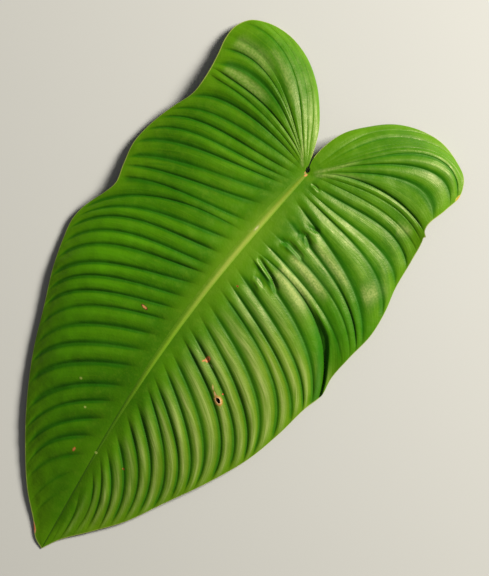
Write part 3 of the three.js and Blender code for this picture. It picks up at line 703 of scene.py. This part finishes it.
def half_blade(side, materials):
    """One half of the blade: a sheet with sunken veins on top and ribs underneath."""
    top, values = blade_surface(side)
    columns = top.shape[1]
    bm = bmesh.new()
    bmesh.ops.create_grid(bm, x_segments=columns - 1, y_segments=ROWS, size=0.5)
    layers = {name: bm.verts.layers.float.new(name) for name in (*values, "underside")}
    for vert in bm.verts:
        j = round((vert.co.x + 0.5) * (columns - 1))
        i = round((vert.co.y + 0.5) * ROWS)
        vert.co = top[i, j]
        for name, grid in values.items():
            vert[layers[name]] = grid[i, j]
    bmesh.ops.remove_doubles(bm, verts=bm.verts[:], dist=SAME_PLACE)
    if side == "right":
        bite_out(bm)
    bmesh.ops.triangulate(bm, faces=bm.faces[:], quad_method="FIXED")
    made = bmesh.ops.extrude_face_region(bm, geom=bm.faces[:])
    under = [item for item in made["geom"] if isinstance(item, bmesh.types.BMVert)]
    for vert in under:
        vert.co.z -= (BLADE_THICKNESS + vert[layers["rib"]]) * MM
        vert[layers["underside"]] = 1
    bmesh.ops.recalc_face_normals(bm, faces=bm.faces[:])
    for face in bm.faces:
        sides = sum(vert[layers["underside"]] for vert in face.verts)
        face.material_index = 0 if sides == 0 else 1 if sides == 3 else 2
    return make_object(f"blade_{side}", bm, materials)


def outer_part(flat, from_midrib):
    """The outer part of each half below the lobes, painted lighter: painted light on the left and painted
    sheen on the right.
    """
    return ramp(from_midrib, *OUTER_STARTS) * ease(ramp(flat[..., 1], *OUTER_BELOW))


def painted_sheen(flat, from_midrib):
    """How strong the painted sheen on the backs of the right half's swellings is: more toward the tip."""
    toward_tip = mix(BACKS_LEAST, 1, ease(ramp(flat[..., 1], *BACKS_BELOW)))
    return ramp(from_midrib, *BACKS_START) * toward_tip * (1 - deep_margin(flat, from_midrib))


def deep_margin(flat, from_midrib):
    """The deeper green outer part between the fold and the lobe."""
    y = flat[..., 1]
    depth = ease(ramp(from_midrib, *DEEP_MARGIN_STARTS)) * ease(ramp(y, *DEEP_MARGIN_ABOVE))
    return depth * ease(ramp(y, *DEEP_MARGIN_BELOW))


def highlights_and_pale_ribs(side, flat):
    paleness = np.zeros(flat.shape[:-1])
    for line, width, strength in HIGHLIGHTS_AND_PALE_RIBS[side]:
        aside, along = beside_line(flat, line)
        ends = ease(ramp(along, *PALE_PLACE_STARTS)) * ease(ramp(along, *PALE_PLACE_ENDS))
        paleness = np.maximum(paleness, strength * np.exp(-((aside / width) ** 2)) * ends)
    return paleness


def pale_band(side, from_midrib, down):
    """The lighter band beside the midrib, which is wider on the right."""
    width = PALE_BAND_WIDTHS[side]
    fade = ramp(from_midrib, width, PALE_BAND_FULL * width)
    return ease(fade) * ramp(down, *PALE_BAND_STARTS) * ramp(down, *PALE_BAND_ENDS)


def midrib(material):
    """The midrib: a low crown above the blade and a rounded keel below, closed at both ends."""
    bm = bmesh.new()
    bmesh.ops.create_grid(bm, x_segments=MIDRIB_STATIONS, y_segments=MIDRIB_SIDES, size=0.5)
    down_layer = bm.verts.layers.float.new("down")
    across_layer = bm.verts.layers.float.new("across")
    for vert in bm.verts:
        along = vert.co.x + 0.5
        turn = 2 * math.pi * ((vert.co.y + 0.5) % 1)
        down = mix(-MIDRIB_TOP, MIDRIB_TIP, along**STATION_GATHER)
        start = min(1, (down + MIDRIB_TOP) / MIDRIB_ROUNDING)
        tip = min(1, (MIDRIB_TIP - down) / MIDRIB_ROUNDING)
        fullness = math.sqrt(1 - (1 - start) ** 2) * math.sqrt(max(0, 1 - (1 - tip) ** 2))
        x, y = midrib_at(np.float64(down))
        above = math.sin(turn) >= 0
        half = float((crown_half_width if above else midrib_half_width)(down)[0]) * fullness
        level = float(midrib_height(down)[0])
        across = math.cos(turn)
        if above:
            rise = float(crown_profile(across)[0]) * float(crown_height(down)[0])
            waver = noise.noise(Vector((across, down / CROWN_WAVER_LENGTH, CROWN_WAVER_SEED)))
            rise *= 1 + CROWN_WAVER * waver
            z = level + CROWN_LIFT * half + rise * fullness - CROWN_END_DROP * (1 - fullness)
        else:
            keel = float(keel_depth(down)[0]) * mix(KEEL_AT_ENDS, 1, fullness)
            z = level - KEEL_TUCK * fullness + keel * math.sin(turn)
        vert[down_layer] = down
        vert[across_layer] = across
        vert.co = (np.array((x + half * across, y, z)) + LEAF_PLACE) * MM
    bmesh.ops.remove_doubles(bm, verts=bm.verts[:], dist=SAME_PLACE)
    bmesh.ops.recalc_face_normals(bm, faces=bm.faces[:])
    return make_object("midrib", bm, [material])


def stalk_stub(skin, cut):
    """The short stub of the leaf stalk, cut square, standing down from the base of the midrib."""
    bm = bmesh.new()
    axis = Vector((0, math.sin(STALK_LEAN), math.cos(STALK_LEAN)))
    root = (Vector(STALK_ROOT) + Vector(LEAF_PLACE)) * MM
    across = Vector((1, 0, 0))
    made = [
        bm.verts.new(root - axis * (STALK_LENGTH - along) * MM + across * radius * MM)
        for radius, along in STALK_PROFILE
    ]
    runs = [bm.edges.new(pair) for pair in zip(made, made[1:])]
    bmesh.ops.spin(
        bm, geom=made + runs, cent=root, axis=axis, angle=2 * math.pi, steps=STALK_SIDES, use_merge=True,
    )
    bmesh.ops.remove_doubles(bm, verts=bm.verts[:], dist=SAME_PLACE)
    rim = [edge for edge in bm.edges if edge.is_boundary]
    bmesh.ops.contextual_create(bm, geom=rim)
    bmesh.ops.recalc_face_normals(bm, faces=bm.faces[:])
    for face in bm.faces:
        face.material_index = 1 if face.normal.dot(axis) < -0.9 else 0
    return make_object("stalk_stub", bm, [skin, cut])


class Finish:
    """A material built from nodes, each added with its values and what feeds it."""

    def __init__(self, name, roughness=0.5, specular=0.3):
        self.material = bpy.data.materials.new(name)
        self.material.use_nodes = True
        self.tree = self.material.node_tree
        self.shader = self.tree.nodes["Principled BSDF"]
        self.shader.inputs["Roughness"].default_value = roughness
        self.shader.inputs["Specular IOR Level"].default_value = specular
        self.here = self.add("TexCoord").outputs["Object"]

    def add(self, kind, **settings):
        node = self.tree.nodes.new("ShaderNode" + kind)
        for name, value in settings.items():
            setattr(node, name, value)
        return node

    def feed(self, socket, value):
        if isinstance(value, bpy.types.NodeSocket):
            self.tree.links.new(value, socket)
        elif isinstance(value, tuple) and len(value) == 3 and len(socket.default_value) == 4:
            socket.default_value = (*value, 1)
        else:
            socket.default_value = value

    def attributes(self, *names):
        return [self.add("Attribute", attribute_name=name).outputs["Fac"] for name in names]

    def math(self, operation, *values):
        node = self.add("Math", operation=operation)
        for socket, value in zip(node.inputs, values):
            self.feed(socket, value)
        return node.outputs[0]

    def ramp(self, value, low, high, least=0, most=1):
        """Follows a value smoothly from least at low to most at high."""
        node = self.add("MapRange", interpolation_type="SMOOTHSTEP")
        for socket, given in zip(node.inputs, (value, low, high, least, most)):
            self.feed(socket, given)
        return node.outputs[0]

    def noise(self, scale, detail=2, vector=None):
        node = self.add("TexNoise")
        self.feed(node.inputs["Vector"], vector or self.here)
        self.feed(node.inputs["Scale"], scale)
        self.feed(node.inputs["Detail"], detail)
        return node.outputs["Fac"]

    def times(self, first, second):
        return self.math("MULTIPLY", first, second)

    def plus(self, first, second):
        return self.math("ADD", first, second)

    def streaks(self, across, fine, along, stretch, seed, detail=1):
        """Streaks that are fine across the veins and long along them."""
        place = self.vector(self.times(across, fine), self.times(along, stretch), seed)
        return self.noise(1, detail, place)

    def vector(self, *values):
        node = self.add("CombineXYZ")
        for socket, value in zip(node.inputs, values):
            self.feed(socket, value)
        return node.outputs[0]

    def mix(self, first, second, share):
        node = self.add("Mix", data_type="RGBA")
        self.feed(node.inputs["Factor"], share)
        self.feed(node.inputs[6], first)
        self.feed(node.inputs[7], second)
        return node.outputs[2]

    def layered(self, colour, *layers):
        """Lays tones over a colour, each with how much of it shows."""
        for tone, share in layers:
            colour = self.mix(colour, tone, share)
        return colour

    def from_spot(self, x, y, along, across, turn):
        """Distance from a spot's middle, at any height, as a share of its half length and half width."""
        node = self.add("Mapping", vector_type="TEXTURE")
        self.feed(node.inputs["Vector"], self.here)
        node.inputs["Location"].default_value = ((x + LEAF_PLACE[0]) * MM, (y + LEAF_PLACE[1]) * MM, 0)
        node.inputs["Rotation"].default_value = (0, 0, math.radians(turn))
        node.inputs["Scale"].default_value = (along * MM, across * MM, SPOT_HEIGHT)
        length = self.add("VectorMath", operation="LENGTH")
        self.feed(length.inputs[0], node.outputs[0])
        return length.outputs["Value"]

    def bump(self, height, distance):
        node = self.add("Bump")
        node.inputs["Distance"].default_value = distance
        self.feed(node.inputs["Height"], height)
        self.feed(self.shader.inputs["Normal"], node.outputs[0])

    def done(self, colour, roughness=None):
        self.feed(self.shader.inputs["Base Color"], colour)
        if roughness is not None:
            self.feed(self.shader.inputs["Roughness"], roughness)
        return self.material


# Spots on the blade, and a painted glint on the midrib: x, y, half length, half width, angle, colour of the
# middle and of the rim.
DEAD_TAN = (0.55, 0.3, 0.12)
RUST = (0.5, 0.12, 0.025)
DARK_BROWN = (0.09, 0.03, 0.012)
PALE_GREEN = (0.32, 0.42, 0.08)
SPOTS_AND_GLINT = [
    (-49, -181, 3.3, 1.3, 174, (0.62, 0.3, 0.1), DARK_BROWN),
    (24, -186.5, 2.7, 2.0, 100, (0.62, 0.28, 0.11), RUST),
    (24.2, -185.9, 1.3, 0.5, 120, (0.32, 0.05, 0.015), (0.5, 0.15, 0.05)),
    (21.8, -189.3, 1.7, 0.7, 55, (0.5, 0.2, 0.06), RUST),
    (30.2, -189.4, 2.2, 0.5, 160, (0.3, 0.38, 0.12), (0.2, 0.32, 0.05)),
    (42.2, -204.6, 2.4, 0.8, 130, (0.6, 0.46, 0.18), (0.4, 0.38, 0.08)),
    (48, -208.9, 3.6, 0.9, 145, (0.75, 0.48, 0.22), (0.5, 0.3, 0.08)),
    (53, -211.5, 4.6, 3.0, 155, (0.78, 0.5, 0.24), (0.5, 0.26, 0.06)),
    (53, -204.5, 1.0, 0.8, 0, RUST, DARK_BROWN),
    (-27.5, -322, 1.9, 1.1, 95, (0.6, 0.26, 0.08), RUST),
    (-59, -266, 1.2, 1.0, 0, PALE_GREEN, PALE_GREEN),
    (-41, -285, 1.1, 0.9, 0, PALE_GREEN, PALE_GREEN),
    (-9.5, -313, 1.2, 1.0, 0, PALE_GREEN, PALE_GREEN),
    (19, -311, 1.0, 0.7, 0, DARK_BROWN, RUST),
    (8, -118, 0.9, 0.7, 0, DARK_BROWN, RUST),
    (0.7, -1.9, 1.7, 0.9, 60, (0.66, 0.28, 0.09), (0.4, 0.24, 0.05)),
    (-1.2, -0.4, 1.2, 0.6, 120, (0.6, 0.27, 0.1), (0.36, 0.28, 0.07)),
    (-17.5, -402, 5.5, 1.8, -42, RUST, DEAD_TAN),
    (125, 62, 4, 1.6, 80, (0.5, 0.33, 0.04), (0.4, 0.4, 0.06)),
    # A painted glint on the midrib.
    (-8, -66, 3.4, 1.0, 82, (0.55, 0.55, 0.22), PALE_GREEN),
]
# A spot takes in any height.
SPOT_HEIGHT = 1000
SPOT_RIM, SPOT_MIDDLE = (1.3, 0.95), (0.9, 0.6)
SPOT_RAGGEDNESS = 0.7


def with_spots_and_glint(finish, colour, strength=1):
    """A colour with the leaf's spots and the painted glint on it, which have ragged outlines."""
    ragged = finish.times(finish.math("SUBTRACT", finish.noise(900, 3), 0.5), SPOT_RAGGEDNESS)
    for x, y, along, across, turn, middle, rim in SPOTS_AND_GLINT:
        gap = finish.plus(finish.from_spot(x, y, along, across, turn), ragged)
        colour = finish.mix(colour, rim, finish.ramp(gap, *SPOT_RIM, 0, strength))
        colour = finish.mix(colour, middle, finish.ramp(gap, *SPOT_MIDDLE, 0, strength))
    return colour


def upper_side():
    """Satin green with fine veins that run with the side veins, painted shade in deeper green beside the
    sunken ones, and painted highlights.
    """
    finish = Finish("leaf_upper_side", specular=0.37)
    finish.shader.inputs["Specular Tint"].default_value = (1, 0.86, 0.52, 1)
    rank, painted_shade, crest, from_midrib, from_edge = finish.attributes(
        "rank", "painted_shade", "crest", "from_midrib", "from_edge"
    )
    outer_right, outer_left, sheen, deep_margin, pale_band, highlight_and_rib = finish.attributes(
        "outer_right", "outer_left", "painted_sheen", "deep_margin", "pale_band", "highlight_and_rib"
    )
    across = finish.plus(rank, finish.times(finish.noise(30, 1), 0.004))
    streaks = finish.streaks(across, 330, from_midrib, 0.03, 0)
    broad = finish.streaks(across, 60, from_midrib, 0.02, 7)
    fading = finish.ramp(from_midrib, 12, 50)
    cloud, mottle = finish.noise(22, 3), finish.noise(150, 3)
    speckle, grain = finish.noise(520, 2), finish.noise(1400, 2)
    # Painted sheen on the backs of the right half's swellings, in streaks.
    sheen = finish.times(finish.times(crest, sheen), finish.ramp(streaks, 0.3, 0.7, 0.3, 1))
    # Painted highlights and pale ribs, speckled.
    highlight_and_rib = finish.times(highlight_and_rib, finish.ramp(speckle, 0.3, 0.65, 0.45, 1))
    # Painted shade, in deeper green, beside the sunken veins, in the creases and in the fold's valley.
    shade_amount = finish.times(finish.ramp(painted_shade, 0.08, 0.8), finish.ramp(from_midrib, 4, 25))

    colour = finish.layered(
        (0.036, 0.15, 0.0006),
        # Clouds, mottling and specks.
        ((0.07, 0.215, 0.0012), finish.ramp(cloud, 0.3, 0.7)),
        ((0.12, 0.26, 0.004), finish.ramp(mottle, 0.5, 0.8, 0, 0.35)),
        ((0.1, 0.22, 0.004), finish.ramp(speckle, 0.52, 0.75, 0, 0.35)),
        # Pale, deep and broad deep streaks.
        ((0.14, 0.3, 0.005), finish.times(fading, finish.ramp(streaks, 0.5, 0.75, 0, 0.22))),
        ((0.02, 0.11, 0.0006), finish.times(fading, finish.ramp(streaks, 0.5, 0.25, 0, 0.25))),
        ((0.03, 0.13, 0.0006), finish.times(fading, finish.ramp(broad, 0.5, 0.25, 0, 0.35))),
        # The outer parts painted lighter, as painted light on the left and painted sheen on the right, and
        # the lighter band along the edge.
        ((0.13, 0.24, 0.006), finish.times(outer_right, finish.ramp(cloud, 0.2, 0.6, 0.3, 0.8))),
        ((0.09, 0.31, 0.0012), finish.times(outer_left, finish.ramp(cloud, 0.2, 0.6, 0.4, 0.85))),
        ((0.12, 0.28, 0.002), finish.ramp(from_edge, 34, 5, 0, 0.5)),
        # The painted sheen on the backs of the swellings, and the painted highlights and pale ribs.
        ((0.38, 0.46, 0.13), finish.times(sheen, 0.8)),
        ((0.4, 0.47, 0.14), highlight_and_rib),
        # The deep margin, the painted shade of the sunken veins, creases and fold valley, the band beside
        # the midrib and the thin pale edge.
        ((0.03, 0.17, 0.0006), finish.times(deep_margin, 0.6)),
        ((0.011, 0.13, 0.0004), finish.times(shade_amount, 0.8)),
        ((0.13, 0.27, 0.006), finish.times(pale_band, 0.6)),
        ((0.36, 0.42, 0.08), finish.ramp(from_edge, 1.1, 0.4, 0, 0.8)),
    )
    colour = with_spots_and_glint(finish, colour)

    relief = finish.plus(finish.times(streaks, finish.times(fading, 0.6)), finish.times(mottle, 0.5))
    relief = finish.plus(relief, finish.times(speckle, 0.5))
    relief = finish.plus(relief, finish.times(grain, 0.25))
    finish.bump(relief, 0.00024)
    roughness = finish.plus(finish.ramp(mottle, 0.3, 0.7, 0.34, 0.46), finish.ramp(painted_shade, 0.5, 1, 0, 0.12))
    return finish.done(colour, finish.plus(roughness, finish.times(highlight_and_rib, 0.16)))


def underside():
    """Paler, duller green, with its raised veins lighter still."""
    finish = Finish("leaf_underside", specular=0.25)
    rank, rib, from_midrib = finish.attributes("rank", "rib", "from_midrib")
    streaks = finish.streaks(rank, 330, from_midrib, 0.03, 3)
    fading = finish.ramp(from_midrib, 6, 30)
    cloud, mottle, grain = finish.noise(25, 3), finish.noise(220, 3), finish.noise(1600, 2)
    colour = finish.layered(
        (0.1, 0.2, 0.03),
        ((0.15, 0.26, 0.05), finish.ramp(cloud, 0.3, 0.7)),
        ((0.19, 0.31, 0.08), finish.times(fading, finish.ramp(streaks, 0.5, 0.75, 0, 0.6))),
        ((0.07, 0.15, 0.02), finish.ramp(mottle, 0.5, 0.25, 0, 0.4)),
        ((0.3, 0.4, 0.1), finish.ramp(rib, 0.2, 1.3, 0, 0.8)),
    )
    colour = with_spots_and_glint(finish, colour, 0.7)
    finish.bump(finish.plus(finish.times(streaks, fading), finish.times(grain, 0.3)), 0.0003)
    return finish.done(colour, finish.ramp(mottle, 0.3, 0.7, 0.55, 0.68))


def margin_finish():
    """The thin pale edge of the blade, browned in places."""
    finish = Finish("leaf_margin", roughness=0.5)
    patches = finish.noise(180, 3)
    colour = finish.mix((0.24, 0.32, 0.05), (0.4, 0.4, 0.1), finish.ramp(patches, 0.35, 0.65))
    colour = finish.mix(colour, (0.3, 0.14, 0.04), finish.ramp(finish.noise(60, 2), 0.66, 0.74, 0, 0.8))
    return finish.done(with_spots_and_glint(finish, colour))


def midrib_finish():
    """Pale yellow-green along the middle, greener at its sides and below, fading out toward the tip."""
    finish = Finish("midrib_pale_green", specular=0.3)
    down, across = finish.attributes("down", "across")
    grain = finish.streaks(across, 7, down, 0.035, 1, 2)
    fibres = finish.streaks(across, 18, down, 0.06, 5)
    mottle = finish.noise(260, 3)
    pale = finish.layered(
        (0.2, 0.3, 0.012),
        ((0.34, 0.44, 0.055), finish.ramp(down, 12, 68)),
        ((0.21, 0.39, 0.014), finish.ramp(down, 112, 200)),
        ((0.09, 0.23, 0.004), finish.ramp(down, 200, 290)),
        ((0.04, 0.12, 0.0015), finish.ramp(down, 300, 350)),
    )
    green = finish.layered(
        (0.1, 0.24, 0.006),
        ((0.14, 0.29, 0.008), finish.ramp(down, 12, 60)),
        ((0.095, 0.24, 0.004), finish.ramp(down, 110, 200)),
        ((0.045, 0.14, 0.0015), finish.ramp(down, 195, 290)),
        (pale, finish.ramp(mottle, 0.4, 0.75, 0, 0.15)),
    )
    wavering = finish.plus(across, finish.times(grain, 0.25))
    from_crest = finish.math("ABSOLUTE", finish.math("SUBTRACT", wavering, 0.42))
    colour = finish.mix(pale, green, finish.ramp(from_crest, 0.05, 0.85))
    colour = finish.mix(colour, green, finish.ramp(fibres, 0.5, 0.75, 0, 0.2))
    colour = with_spots_and_glint(finish, colour)
    finish.bump(finish.plus(fibres, finish.times(mottle, 0.3)), 0.00014)
    return finish.done(colour, finish.ramp(mottle, 0.3, 0.7, 0.38, 0.48))


def stalk_skin():
    """Green skin with fibres that run up the stalk."""
    finish = Finish("stalk_green", specular=0.35)
    along = finish.add("Mapping", vector_type="POINT")
    finish.feed(along.inputs["Vector"], finish.here)
    along.inputs["Scale"].default_value = (1400, 1400, 90)
    fibres = finish.noise(1, 2, along.outputs[0])
    mottle = finish.noise(300, 3)
    colour = finish.mix((0.1, 0.2, 0.02), (0.2, 0.32, 0.05), finish.ramp(fibres, 0.35, 0.65))
    colour = finish.mix(colour, (0.25, 0.34, 0.08), finish.ramp(mottle, 0.55, 0.7, 0, 0.5))
    finish.bump(fibres, 0.0003)
    return finish.done(colour, finish.ramp(mottle, 0.3, 0.7, 0.38, 0.5))


def stalk_cut():
    """The cut end: moist pale flesh with darker bundles, browned round its rim."""
    finish = Finish("stalk_cut_end", specular=0.4)
    cells = finish.add("TexVoronoi")
    finish.feed(cells.inputs["Vector"], finish.here)
    cells.inputs["Scale"].default_value = 900
    bundles = finish.ramp(cells.outputs["Distance"], 0.34, 0.2)
    patches = finish.noise(500, 3)
    colour = finish.mix((0.42, 0.46, 0.2), (0.3, 0.35, 0.11), finish.ramp(patches, 0.35, 0.65))
    colour = finish.mix(colour, (0.2, 0.12, 0.04), finish.times(bundles, 0.75))
    finish.bump(finish.math("SUBTRACT", patches, finish.times(bundles, 0.5)), 0.0004)
    return finish.done(colour, finish.ramp(patches, 0.3, 0.7, 0.35, 0.5))


blade_finishes = (upper_side(), underside(), margin_finish())
pieces = [half_blade(side, blade_finishes) for side in ("left", "right")]
pieces.append(midrib(midrib_finish()))
pieces.append(stalk_stub(stalk_skin(), stalk_cut()))
for piece in pieces:
    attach(piece, "root")
    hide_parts("leaf")

FLOOR_HALF_WIDTH = 3
FLOOR_COLOUR = (0.62, 0.62, 0.6)
floor_mesh = bmesh.new()
bmesh.ops.create_grid(floor_mesh, x_segments=1, y_segments=1, size=FLOOR_HALF_WIDTH)
floor_finish = Finish("pale_floor", roughness=0.9, specular=0.5)
floor = make_object("floor", floor_mesh, [floor_finish.done(FLOOR_COLOUR)])

# The camera looks straight down, turned so that the tip points to the lower left of the picture.
PHOTO_MIDDLE = (14.0, -115.7)
PICTURE_HEIGHT = 518.4
IMAGE_UP = (-0.577, 0.8166)
CAMERA_DISTANCE = 2.2
CAMERA_FOCUS_HEIGHT = 0.012
SENSOR = 36
camera_data = bpy.data.cameras.new("camera")
camera_data.sensor_width = SENSOR
camera_data.lens = SENSOR * CAMERA_DISTANCE / (PICTURE_HEIGHT * MM)
camera = add_object("camera", camera_data)
camera.location = (
    (PHOTO_MIDDLE[0] + LEAF_PLACE[0]) * MM,
    (PHOTO_MIDDLE[1] + LEAF_PLACE[1]) * MM,
    CAMERA_DISTANCE + CAMERA_FOCUS_HEIGHT,
)
camera.rotation_euler = (0, 0, math.atan2(-IMAGE_UP[0], IMAGE_UP[1]))
bpy.context.scene.camera = camera

# A soft, warm light from the right of the picture, and a weak light from all round.
KEY_DIRECTION = Vector((0.394, 0.741, 0.545)).normalized()
KEY_DISTANCE, KEY_SIZE, KEY_POWER = 3, 1.0, 158
KEY_COLOUR = (1, 0.96, 0.86)
SURROUNDING_LIGHT = 0.1
key_data = bpy.data.lights.new("key", "AREA")
key_data.shape = "SQUARE"
key_data.size = KEY_SIZE
key_data.energy = KEY_POWER
key_data.color = KEY_COLOUR
key = add_object("key", key_data)
key.location = KEY_DIRECTION * KEY_DISTANCE
key.rotation_euler = KEY_DIRECTION.to_track_quat("Z", "Y").to_euler()
world = bpy.data.worlds.new("studio")
world.use_nodes = True
background = world.node_tree.nodes["Background"]
background.inputs["Color"].default_value = (1, 1, 1, 1)
background.inputs["Strength"].default_value = SURROUNDING_LIGHT
bpy.context.scene.world = world
bpy.context.scene.view_settings.view_transform = "Standard"
